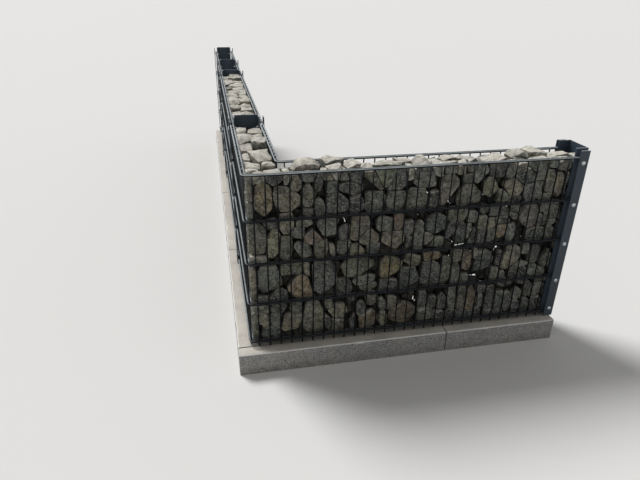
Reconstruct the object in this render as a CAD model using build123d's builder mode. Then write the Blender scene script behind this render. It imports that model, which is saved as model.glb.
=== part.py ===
from build123d import *
import os

# L-shaped gabion wall: rubble held between two double-rod wire mats, on U-section posts and a kerb.
# Millimetres. The origin is on the base plane, straight below the corner where the two outer mats
# meet. The front wing runs along +X and shows its outer side to -Y; the side wing runs along +Y.
# Every piece is drawn in wing terms: X along the wing from the corner, Y across the wall from the
# outer mat inward, Z up. The side wing is the mirror image of that about the corner's diagonal.

# Bays, each measured from the corner or from the last post's clamp line to the next clamp line
front_bay = 1495
side_bays = (835, 1550, 600, 900)

# Double-rod mat
upright_diameter = 6
rail_diameter = 8
upright_pitch = 50
rail_pitch = 200
rail_levels = 5
upright_foot = 30         # uprights reach this far below the lowest pair of rails
mat_spacing = 155         # between the centre planes of the outer and inner mats
mat_bend_radius = 20      # at the mat's centre plane
outer_front_offset = 35   # from the corner to the first upright
outer_side_offset = 25
inner_front_offset = 30
inner_side_offset = 25
upright_margin = 10       # least distance from an upright to the mat's end
mat_gap = 5               # between two mats that meet at a post
end_lap = 20              # a mat runs this far past the clamp line of an end post
first_upright = 25        # from a clamp line to the next bay's first upright

# U-section posts, open toward the corner
post_flange = 60
post_steel = 4
post_rise = 40            # above the top rail
post_foot = 90            # set in the footing

# Clamp strips that hold the mats to the post flanges
clamp_width = 45
clamp_steel = 5
clamp_clearance = 5       # above the kerb and below the post's top
bolt_square = 9
bolt_below_rail = 22
bolt_above_lowest_rail = 16

# Granite kerb and concrete footing
kerb_height = 110
kerb_width = 60
kerb_length = 1000
kerb_joint = 4
kerb_chamfer = 4
front_ledge = 55          # kerb in front of the outer mat's centre plane
side_ledge = 64
kerb_end_setback = 15     # the front kerb stops short of the end post's back
footing_inner_ledge = 20  # past the inner mat's centre plane
footing_end_ledge = 20    # past the side wing's last post; at the house the end is flush

# Height of the rubble above or below the top rail, at even steps along each bay
front_heap = (-40, -30, 22, 4, 20, -6, 6, 12, 2, 14, 18, 12, 6, 2)
side_heaps = (
    (-20, 0, -12, 18, -8, -26),
    (-10, 10, -6, 14, 0, -8, 12, 0),
    (-115, -100, -120),
    (-120, -105, -125, -110),
)

# Worked out from the sizes above
rail_offset = (upright_diameter + rail_diameter) / 2
mat_reach = rail_offset + rail_diameter / 2
lowest_rail = kerb_height + upright_foot
rail_heights = [lowest_rail + level * rail_pitch for level in range(rail_levels)]
top_rail = rail_heights[-1]
upright_top = top_rail + rail_diameter / 2
post_top = top_rail + post_rise
post_bottom = kerb_height - post_foot
clamp_bottom = kerb_height + clamp_clearance
clamp_top = post_top - clamp_clearance
bolt_heights = [lowest_rail + bolt_above_lowest_rail]
bolt_heights += [height - bolt_below_rail for height in rail_heights[1:]]
wall_inner = mat_spacing - mat_reach
side_clamp_lines = [sum(side_bays[: count + 1]) for count in range(len(side_bays))]
front_post_back = front_bay + post_flange / 2
side_post_back = side_clamp_lines[-1] + post_flange / 2

corner_diagonal = Plane(origin=(0, 0, 0), x_dir=(1, 1, 0), z_dir=(1, -1, 0))


def save(piece, name):
    """Label a finished piece and write it to its own file."""
    piece.part.label = name
    export_step(piece.part, f"parts/{name}.step")


def upright_places(first, end):
    """Places of the uprights along a wing, from the first one up to the mat's end."""
    count = int((end - upright_margin - first) // upright_pitch) + 1
    return [first + number * upright_pitch for number in range(count)]


def make_mat(name, plane_at, start, end, places, bent, on_side):
    """The rails of one mat in one solid with its first and last uprights."""
    turn = plane_at + mat_bend_radius
    with BuildPart() as mat:
        for offset in (-rail_offset, rail_offset):
            for height in rail_heights:
                with BuildLine(Plane.XY.offset(height)) as route:
                    if bent:
                        CenterArc((turn, turn), mat_bend_radius - offset, 180, 90)
                        Line((turn, plane_at + offset), (end, plane_at + offset))
                    else:
                        Line((start, plane_at + offset), (end, plane_at + offset))
                with BuildSketch(Plane(route.line @ 0, x_dir=(0, 0, 1), z_dir=route.line % 0)):
                    RegularPolygon(rail_diameter / 2, 6, major_radius=False)
                sweep(path=route.line)
        with BuildSketch(Plane.XY.offset(kerb_height)):
            with Locations((places[0], plane_at), (places[-1], plane_at)):
                RegularPolygon(upright_diameter / 2, 6, major_radius=False)
        extrude(amount=upright_top - kerb_height)
        if on_side:
            mirror(about=corner_diagonal, mode=Mode.REPLACE)
    save(mat, name)


def make_infill(name, rows, on_side):
    """The other uprights of a bay's two mats, each a solid seated between the rails of each pair."""
    spots = [(place, plane_at) for plane_at, places in rows for place in places[1:-1]]
    with BuildPart() as infill:
        with BuildSketch(Plane.XY.offset(kerb_height)):
            with Locations(spots):
                RegularPolygon(upright_diameter / 2, 6, major_radius=False)
        extrude(amount=upright_top - kerb_height)
        if on_side:
            mirror(about=corner_diagonal, mode=Mode.REPLACE)
    save(infill, name)


def draw_post_section(clamp_line):
    """U section of a post: flanges behind the mats, and a web on the side away from the corner."""
    back = clamp_line + post_flange / 2
    with Locations((back, mat_spacing / 2)):
        Rectangle(post_flange, wall_inner - mat_reach, align=(Align.MAX, Align.CENTER))
    with Locations((back - post_steel, mat_spacing / 2)):
        Rectangle(
            post_flange - post_steel,
            wall_inner - mat_reach - 2 * post_steel,
            align=(Align.MAX, Align.CENTER),
            mode=Mode.SUBTRACT,
        )


def make_post(name, clamp_line, on_side):
    """A post with square bolt holes through both flanges."""
    with BuildPart() as post:
        with BuildSketch(Plane.XY.offset(post_bottom)):
            draw_post_section(clamp_line)
        extrude(amount=post_top - post_bottom)
        with BuildSketch(Plane.XZ.offset(-mat_reach)):
            with Locations([(clamp_line, height) for height in bolt_heights]):
                Rectangle(bolt_square, bolt_square)
        extrude(amount=-(wall_inner - mat_reach), mode=Mode.SUBTRACT)
        if on_side:
            mirror(about=corner_diagonal, mode=Mode.REPLACE)
    save(post, name)


def make_clamp(name, clamp_line, face_at, on_side):
    """A flat strip against one mat, with a square hole for each carriage bolt."""
    with BuildPart() as clamp:
        with BuildSketch(Plane.XZ.offset(-face_at)):
            with Locations((clamp_line, (clamp_bottom + clamp_top) / 2)):
                Rectangle(clamp_width, clamp_top - clamp_bottom)
            with Locations([(clamp_line, height) for height in bolt_heights]):
                Rectangle(bolt_square, bolt_square, mode=Mode.SUBTRACT)
        extrude(amount=-clamp_steel)
        if on_side:
            mirror(about=corner_diagonal, mode=Mode.REPLACE)
    save(clamp, name)


def make_fill(name, start, clamp_line, heap, round_corner, on_side):
    """Rubble of one bay, heaped along its top, reaching into the open side of the next post."""
    end = clamp_line + post_flange / 2 - post_steel
    step = (end - start) / (len(heap) - 1)
    crest = [(start + number * step, top_rail + rise) for number, rise in enumerate(heap)]
    with BuildPart() as fill:
        with BuildSketch(Plane.XZ.offset(-mat_reach)):
            with BuildLine():
                Polyline((end, kerb_height), (start, kerb_height), *crest, (end, kerb_height))
            make_face()
        extrude(amount=-(wall_inner - mat_reach))
        if round_corner:
            corner_edge = fill.edges().filter_by(Axis.Z).group_by(Axis.X)[0].sort_by(Axis.Y)[0]
            fillet(corner_edge, mat_bend_radius)
        with BuildSketch(Plane.XY.offset(kerb_height)):
            draw_post_section(clamp_line)
        extrude(amount=post_top - kerb_height, mode=Mode.SUBTRACT)
        if on_side:
            mirror(about=corner_diagonal, mode=Mode.REPLACE)
    save(fill, name)


def make_kerb(name, start, end, ledge, on_side):
    """One kerb stone with a chamfer along its outer top edge."""
    with BuildPart() as kerb:
        with BuildSketch():
            with Locations((start, -ledge)):
                Rectangle(end - start, kerb_width, align=(Align.MIN, Align.MIN))
        extrude(amount=kerb_height)
        arris = kerb.edges().filter_by(Axis.X).group_by(Axis.Z)[-1].sort_by(Axis.Y)[0]
        chamfer(arris, kerb_chamfer)
        if on_side:
            mirror(about=corner_diagonal, mode=Mode.REPLACE)
    save(kerb, name)


def make_kerb_run(prefix, start, end, ledge, on_side):
    """Kerb stones of full length, and a last one cut to reach the run's end."""
    place = start
    number = 1
    while place < end:
        stone_end = min(place + kerb_length - kerb_joint, end)
        make_kerb(f"{prefix}_{number}", place, stone_end, ledge, on_side)
        place = stone_end + kerb_joint
        number += 1


def make_footing(name, start, end, outer, clamp_lines, on_side):
    """Concrete strip behind the kerb, with the posts' feet cast in."""
    inner = mat_spacing + footing_inner_ledge
    with BuildPart() as footing:
        with BuildSketch():
            with Locations((start, outer)):
                Rectangle(end - start, inner - outer, align=(Align.MIN, Align.MIN))
        extrude(amount=kerb_height)
        with BuildSketch(Plane.XY.offset(post_bottom)):
            for clamp_line in clamp_lines:
                draw_post_section(clamp_line)
        extrude(amount=post_foot, mode=Mode.SUBTRACT)
        if on_side:
            mirror(about=corner_diagonal, mode=Mode.REPLACE)
    save(footing, name)


os.makedirs("parts", exist_ok=True)

# Kerb: the front stones own the corner, and the side stones start behind them
front_kerb_back = kerb_width - front_ledge
side_kerb_back = kerb_width - side_ledge
side_end = side_post_back + footing_end_ledge
make_kerb_run("front_kerb", -side_ledge, front_post_back - kerb_end_setback, front_ledge, False)
make_kerb_run("side_kerb", front_kerb_back + kerb_joint, side_end, side_ledge, True)

# Footing: the front strip runs through the corner, and the side strip starts behind it
make_footing(
    "front_footing", side_kerb_back, front_post_back, front_kerb_back, [front_bay], False
)
make_footing(
    "side_footing", mat_spacing + footing_inner_ledge, side_end, side_kerb_back, side_clamp_lines, True
)

# Posts and their clamp strips
for number, (clamp_line, on_side) in enumerate(
    [(front_bay, False)] + [(line, True) for line in side_clamp_lines], start=1
):
    make_post(f"post_{number}", clamp_line, on_side)
    make_clamp(f"outer_clamp_{number}", clamp_line, -mat_reach - clamp_steel, on_side)
    make_clamp(f"inner_clamp_{number}", clamp_line, mat_spacing + mat_reach, on_side)

# Front bay: the mats turn the corner as part of the front mats
front_mat_end = front_bay + end_lap
outer_places = upright_places(outer_front_offset, front_mat_end)
inner_places = upright_places(mat_spacing + inner_front_offset, front_mat_end)
make_mat("front_outer_mat", 0, 0, front_mat_end, outer_places, True, False)
make_mat("front_inner_mat", mat_spacing, 0, front_mat_end, inner_places, True, False)
make_infill("front_uprights", [(0, outer_places), (mat_spacing, inner_places)], False)
make_fill("front_fill", mat_reach, front_bay, front_heap, True, False)

# Side bays: the first carries on from the bend, the others run from clamp line to clamp line
bay_start = 0
for number, clamp_line in enumerate(side_clamp_lines, start=1):
    last = clamp_line == side_clamp_lines[-1]
    mat_end = clamp_line + end_lap if last else clamp_line - mat_gap / 2
    if number == 1:
        outer_start = mat_bend_radius
        inner_start = mat_spacing + mat_bend_radius
        outer_places = upright_places(outer_side_offset, mat_end)
        inner_places = upright_places(mat_spacing + inner_side_offset, mat_end)
        fill_start = wall_inner
    else:
        outer_start = inner_start = bay_start + mat_gap / 2
        outer_places = inner_places = upright_places(bay_start + first_upright, mat_end)
        fill_start = bay_start + post_flange / 2
    make_mat(f"side_outer_mat_{number}", 0, outer_start, mat_end, outer_places, False, True)
    make_mat(f"side_inner_mat_{number}", mat_spacing, inner_start, mat_end, inner_places, False, True)
    make_infill(f"side_uprights_{number}", [(0, outer_places), (mat_spacing, inner_places)], True)
    make_fill(f"side_fill_{number}", fill_start, clamp_line, side_heaps[number - 1], False, True)
    bay_start = clamp_line
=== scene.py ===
import math
import random
from collections import namedtuple
from itertools import combinations

import bmesh
import bpy
import numpy as np
from mathutils import Matrix, Vector, noise


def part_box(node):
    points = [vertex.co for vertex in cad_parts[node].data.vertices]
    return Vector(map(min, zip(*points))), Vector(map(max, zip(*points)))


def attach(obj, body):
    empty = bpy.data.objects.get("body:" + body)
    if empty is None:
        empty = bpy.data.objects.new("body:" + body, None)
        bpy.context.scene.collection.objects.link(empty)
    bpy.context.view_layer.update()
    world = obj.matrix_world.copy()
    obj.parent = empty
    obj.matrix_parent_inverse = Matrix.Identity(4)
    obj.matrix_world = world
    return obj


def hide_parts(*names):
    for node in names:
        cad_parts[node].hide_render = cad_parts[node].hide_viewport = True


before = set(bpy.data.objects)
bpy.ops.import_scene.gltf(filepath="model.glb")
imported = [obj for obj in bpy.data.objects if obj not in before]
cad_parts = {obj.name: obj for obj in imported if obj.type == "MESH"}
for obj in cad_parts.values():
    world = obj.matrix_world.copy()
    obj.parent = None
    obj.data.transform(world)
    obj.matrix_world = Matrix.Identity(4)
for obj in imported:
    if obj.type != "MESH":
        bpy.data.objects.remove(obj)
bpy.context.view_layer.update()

# Layout of the wall in metres, as the CAD model has it. A wing's own terms are u along it from the
# corner, v across it from the outer mat inward, and z up; the side wing swaps x and y.
FRONT_BAY = 1.495
SIDE_LINES = (0.835, 2.385, 2.985, 3.885)
MAT_SPACING = 0.155
MAT_PLANES = (0.0, MAT_SPACING)
MAT_GAP = 0.005
END_LAP = 0.020
BEND_RADIUS = 0.020
RAIL_OFFSET = 0.007
RAIL_RADIUS = 0.004
RAIL_LEVELS = (0.140, 0.340, 0.540, 0.740, 0.940)
UPRIGHT_RADIUS = 0.003
UPRIGHT_PITCH = 0.050
UPRIGHT_MARGIN = 0.010
UPRIGHT_TOP = 0.944
FRONT_FIRST_UPRIGHTS = (0.035, 0.030)
SIDE_FIRST_UPRIGHT = 0.025
KERB_TOP = 0.110
HALF_FLANGE = 0.030
POST_WALL = 0.004
CLAMP_FACE = 0.016
BOLT_LEVELS = (0.156, 0.318, 0.518, 0.718, 0.918)

# Where stones end: at the mats, above the kerb, before a post, and inside it from the outside of its
# back. Stones in a post reach out of it by a lap, and so do the side wing's at the corner.
OUTER_FACE = 0.0113
INNER_FACE = MAT_SPACING - OUTER_FACE
CLEARANCE = 0.001
POST_CLEARANCE = 0.006
BACK_TO_STONES = 0.0055
POCKET_LAP = 0.004
CORNER_LAP = 0.012


def linear(red, green, blue):
    """Linear colour of an sRGB colour given from 0 to 255."""
    return tuple(((c / 255 + 0.055) / 1.055) ** 2.4 for c in (red, green, blue))


def world_point(u, v, z, on_side):
    return (v, u, z) if on_side else (u, v, z)


def new_piece(name, mesh, material, smooth_angle):
    """A mesh as an object that rides on the wall and takes its finish from a material slot."""
    mesh.shade_smooth()
    mesh.set_sharp_from_angle(angle=math.radians(smooth_angle))
    mesh.materials.append(material)
    piece = bpy.data.objects.new(name, mesh)
    bpy.context.scene.collection.objects.link(piece)
    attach(piece, "root")
    return piece


def wear_edges(piece, width, segments, angle):
    """Rounds the edges that are sharper than an angle."""
    bevel = piece.modifiers.new("worn_edges", "BEVEL")
    bevel.width = width
    bevel.segments = segments
    bevel.limit_method = "ANGLE"
    bevel.angle_limit = math.radians(angle)


# Materials


class Graph:
    """Short calls for building a node material around one Principled shader.

    Its color is what has been laid so far.
    """

    def __init__(self, name):
        self.material = bpy.data.materials.new(name)
        self.material.use_nodes = True
        self.tree = self.material.node_tree
        self.shader = self.tree.nodes["Principled BSDF"]
        self.color = None

    def node(self, kind, settings=(), **inputs):
        node = self.tree.nodes.new("ShaderNode" + kind)
        for key, value in dict(settings).items():
            setattr(node, key, value)
        for key, value in inputs.items():
            self.feed(node.inputs[key.replace("_", " ")], value)
        return node

    def feed(self, socket, value):
        if isinstance(value, bpy.types.NodeSocket):
            self.tree.links.new(value, socket)
        else:
            socket.default_value = value

    def attribute(self, name, output):
        return self.node("Attribute", {"attribute_name": name}).outputs[output]

    def place(self):
        return self.node("TexCoord").outputs["Object"]

    def part(self, vector, axis):
        return self.node("SeparateXYZ", Vector=vector).outputs[axis]

    def math(self, operation, first, second, kind="Math"):
        node = self.node(kind, {"operation": operation})
        self.feed(node.inputs[0], first)
        self.feed(node.inputs[1], second)
        return node.outputs[0]

    def times(self, first, second):
        return self.math("MULTIPLY", first, second)

    def noise(self, point, scale, detail=3.0, rough=0.55, distortion=0.0):
        node = self.node(
            "TexNoise", Vector=point, Scale=scale, Detail=detail, Roughness=rough, Distortion=distortion
        )
        return node.outputs["Fac"]

    def ramp(self, value, low, high, first=0.0, last=1.0):
        node = self.node(
            "MapRange", Value=value, From_Min=low, From_Max=high, To_Min=first, To_Max=last
        )
        return node.outputs["Result"]

    def mix(self, factor, first, second):
        node = self.node("Mix", {"data_type": "RGBA"})
        for socket, value in zip((0, 6, 7), (factor, first, second)):
            if isinstance(value, tuple):
                value = (*value, 1.0)
            self.feed(node.inputs[socket], value)
        return node.outputs[2]

    def lay(self, mask, color):
        """Lays another colour over the material's colour, as much as the mask says."""
        self.color = self.mix(mask, self.color, color)

    def speckles(self, point, scale, share):
        """Mask of scattered mineral grains: one where a grain is, covering about that share."""
        grains = self.node("TexVoronoi", Vector=point, Scale=scale).outputs["Color"]
        value = self.node("SeparateColor", Color=grains).outputs["Red"]
        return self.ramp(value, share, share - 0.06)

    def upward(self):
        """How far the surface faces up, from -1 to 1."""
        return self.part(self.node("NewGeometry").outputs["Normal"], "Z")

    def bump(self, height, distance, strength, under=None):
        node = self.node("Bump", Height=height, Distance=distance, Strength=strength)
        if under is not None:
            self.feed(node.inputs["Normal"], under)
        return node.outputs["Normal"]

    def finish(self, roughness, normal, metallic=0.0, specular=0.5):
        self.feed(self.shader.inputs["Base Color"], self.color)
        self.feed(self.shader.inputs["Roughness"], roughness)
        self.feed(self.shader.inputs["Normal"], normal)
        self.shader.inputs["Metallic"].default_value = metallic
        self.shader.inputs["Specular IOR Level"].default_value = specular
        return self.material


def rubble_material():
    """Broken field stone: each stone's own tint, mottled and speckled, paler on its edges from wear and a
    painted highlight, paler where it faces up from dust and painted sunlight, and darker deep in the
    heap from soil and painted shade.

    The texture's place is moved by an attribute of each stone, so that grain never runs on.
    """
    g = Graph("rubble")
    point = g.math("ADD", g.place(), g.attribute("stone_shift", "Vector"), "VectorMath")
    tint = g.attribute("stone_tint", "Color")
    grain = g.attribute("stone_grain", "Fac")
    mottle = g.noise(point, 40.0, 6.0, 0.70, 0.6)
    g.color = g.mix(g.ramp(mottle, 0.43, 0.59), g.mix(0.80, tint, (0.014, 0.015, 0.013)), tint)
    bands = g.node(
        "TexWave", {"wave_type": "BANDS", "bands_direction": "DIAGONAL"},
        Vector=point, Scale=9.0, Distortion=7.0, Detail=3.0, Detail_Scale=1.6,
    ).outputs["Fac"]
    g.lay(g.ramp(bands, 0.6, 1.0, 0.0, 0.18), (0.36, 0.35, 0.31))
    rust = g.noise(point, 9.0, 4.0, 0.6)
    g.lay(g.ramp(rust, 0.60, 0.76, 0.0, 0.4), (0.15, 0.092, 0.045))
    g.lay(g.times(g.speckles(point, 230.0, 0.36), grain), (0.022, 0.024, 0.025))
    g.lay(g.times(g.speckles(point, 270.0, 0.20), grain), (0.27, 0.27, 0.255))
    fine = g.noise(point, 120.0, 5.0, 0.72)
    g.lay(g.ramp(fine, 0.51, 0.65, 0.0, 0.9), g.mix(0.5, g.color, (0.5, 0.5, 0.46)))
    g.lay(g.ramp(fine, 0.30, 0.46, 0.55, 0.0), (0.018, 0.019, 0.018))
    # Paler arrises: wear, and a painted highlight along the stone's edges.
    edge = g.node("NewGeometry").outputs["Pointiness"]
    g.lay(g.ramp(edge, 0.53, 0.62, 0.0, 0.5), g.mix(0.5, g.color, (0.42, 0.41, 0.37)))
    # Paler where it faces up: dust, and painted sunlight on the tops.
    dust_and_painted_light = g.times(g.ramp(g.upward(), 0.40, 0.90), g.ramp(mottle, 0.34, 0.60, 0.3, 0.85))
    g.lay(dust_and_painted_light, linear(220, 215, 204))
    # Darker deep in the heap: soil, and painted shade in the joints between the stones.
    soil_and_shade = g.times(g.attribute("stone_soil", "Fac"), g.ramp(mottle, 0.30, 0.60, 1.0, 0.78))
    g.lay(soil_and_shade, (0.013, 0.012, 0.010))
    relief = g.bump(g.noise(point, 48.0, 6.0, 0.7), 0.006, 0.9)
    relief = g.bump(fine, 0.0018, 0.7, relief)
    return g.finish(g.ramp(fine, 0.3, 0.7, 0.78, 0.95), relief, specular=0.32)


def coating_material(name, base, dusty, film_and_highlight, roughness, specular):
    """Powder coating on steel, faintly pitted, with a pale film where it faces up: dust, and a painted
    highlight of sun.

    The film is thin on the front mat below its top rails, which stand in shade, and full on the top
    rails and the side wing, where the painted sunlight lies.
    """
    g = Graph(name)
    point = g.place()
    patch = g.noise(point, 11.0, 5.0, 0.6)
    g.color = g.mix(g.ramp(patch, 0.35, 0.7, 0.0, 0.5), linear(*base), linear(*dusty))
    # Pale film where it faces up: dust, and a painted highlight of sun on the coating.
    dust_and_painted_light = g.times(g.ramp(g.upward(), 0.20, 0.80), g.ramp(patch, 0.25, 0.6, film_and_highlight * 0.6, film_and_highlight))
    # Full on the top rails and on the side wing, where sun falls, thin on the front mat below them, in
    # shade: painted sunlight, with dust.
    on_top = g.ramp(g.part(point, "Z"), 0.90, 0.93, 0.1, 1.0)
    open_and_sunlit = g.math("MAXIMUM", on_top, g.ramp(g.part(point, "Y"), 0.0, 0.03, 0.1, 0.9))
    g.lay(g.times(open_and_sunlit, dust_and_painted_light), linear(190, 197, 200))
    scuff = g.noise(point, 130.0, 3.0, 0.7)
    g.lay(g.ramp(scuff, 0.68, 0.76, 0.0, 0.22), linear(92, 96, 99))
    peel = g.bump(g.noise(point, 900.0, 2.0), 0.0003, 0.25)
    rough = g.ramp(patch, 0.3, 0.7, roughness - 0.07, roughness + 0.12)
    return g.finish(rough, peel, specular=specular)


def zinc_material():
    """Bright zinc on the bolts, a little dulled in patches."""
    g = Graph("bolt_zinc")
    point = g.place()
    patch = g.noise(point, 160.0, 3.0)
    g.color = g.mix(g.ramp(patch, 0.35, 0.7), linear(190, 192, 192), linear(132, 134, 134))
    relief = g.bump(g.noise(point, 700.0, 2.0), 0.0002, 0.3)
    return g.finish(g.ramp(patch, 0.3, 0.7, 0.30, 0.52), relief, metallic=1.0)


def granite_material():
    """Salt-and-pepper granite, paler on its sawn top from wear and painted sunlight, with a painted
    highlight along its worn arris, and dirty near the ground.
    """
    g = Graph("granite")
    point = g.place()
    cloud = g.noise(point, 9.0, 5.0, 0.6)
    g.color = g.mix(g.ramp(cloud, 0.3, 0.7), linear(142, 142, 140), linear(164, 163, 159))
    g.lay(g.speckles(point, 400.0, 0.30), linear(92, 93, 95))
    g.lay(g.speckles(point, 480.0, 0.20), linear(192, 191, 186))
    g.lay(g.speckles(point, 290.0, 0.07), linear(68, 69, 72))
    up = g.upward()
    # Paler sawn top: wear, and painted sunlight where it faces up.
    worn_and_sunlit = g.times(g.ramp(up, 0.4, 0.9), g.ramp(cloud, 0.25, 0.6, 0.5, 0.85))
    g.lay(worn_and_sunlit, linear(218, 211, 200))
    # A painted highlight along the rounded arris, which is also worn.
    arris_wear_and_highlight = g.times(g.ramp(up, 0.30, 0.55), g.ramp(up, 0.86, 0.97, 1.0, 0.0))
    g.lay(g.times(arris_wear_and_highlight, 0.8), linear(236, 236, 233))
    splash = g.noise(point, 26.0, 5.0, 0.65)
    low = g.ramp(g.part(point, "Z"), 0.0, 0.05, 0.55, 0.0)
    g.lay(g.times(low, g.ramp(splash, 0.35, 0.65)), linear(106, 95, 82))
    pits = g.noise(point, 240.0, 4.0, 0.75)
    relief = g.bump(pits, 0.0016, 0.7)
    return g.finish(g.ramp(pits, 0.3, 0.7, 0.66, 0.86), relief, specular=0.35)


def concrete_material():
    """Cast concrete with pores, cement clouds and a damp, soiled foot."""
    g = Graph("concrete")
    point = g.place()
    cloud = g.noise(point, 6.0, 6.0, 0.62)
    g.color = g.mix(g.ramp(cloud, 0.3, 0.7), linear(132, 130, 124), linear(168, 165, 157))
    sand = g.noise(point, 300.0, 3.0, 0.7)
    g.lay(g.ramp(sand, 0.55, 0.72, 0.0, 0.5), linear(96, 92, 84))
    pores = g.node("TexVoronoi", Vector=point, Scale=75.0).outputs["Distance"]
    g.lay(g.times(g.ramp(pores, 0.10, 0.16, 1.0, 0.0), 0.8), linear(70, 68, 64))
    low = g.ramp(g.part(point, "Z"), 0.0, 0.08, 0.7, 0.0)
    g.lay(g.times(low, g.ramp(cloud, 0.3, 0.6)), linear(92, 82, 68))
    relief = g.bump(sand, 0.0010, 0.6)
    relief = g.bump(g.ramp(pores, 0.06, 0.2), 0.0015, 0.8, relief)
    return g.finish(g.ramp(sand, 0.3, 0.7, 0.8, 0.94), relief, specular=0.3)


RUBBLE = rubble_material()
MAT_STEEL = coating_material("mat_coating", (15, 18, 21), (23, 27, 31), 0.80, 0.50, 0.07)
POST_STEEL = coating_material("post_coating", (55, 67, 79), (66, 79, 92), 0.85, 0.48, 0.35)
CLAMP_STEEL = coating_material("clamp_coating", (48, 58, 68), (62, 73, 84), 0.80, 0.46, 0.35)
ZINC = zinc_material()
GRANITE = granite_material()
CONCRETE = concrete_material()

# Stones. Tints are sRGB, with how strongly the stone is speckled.
KINDS = {
    "tan": ((134, 130, 108), 0.25),
    "grey": ((111, 115, 105), 0.40),
    "olive": ((111, 114, 94), 0.25),
    "dark": ((50, 53, 50), 0.30),
    "teal": ((60, 70, 64), 0.45),
    "brown": ((129, 115, 91), 0.20),
    "ochre": ((138, 122, 88), 0.20),
    "red": ((126, 104, 88), 0.20),
    "pale": ((168, 163, 148), 0.15),
    "pepper": ((80, 83, 79), 0.85),
    "mauve": ((109, 107, 101), 0.25),
    "chalk": ((182, 178, 167), 0.10),
}
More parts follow.
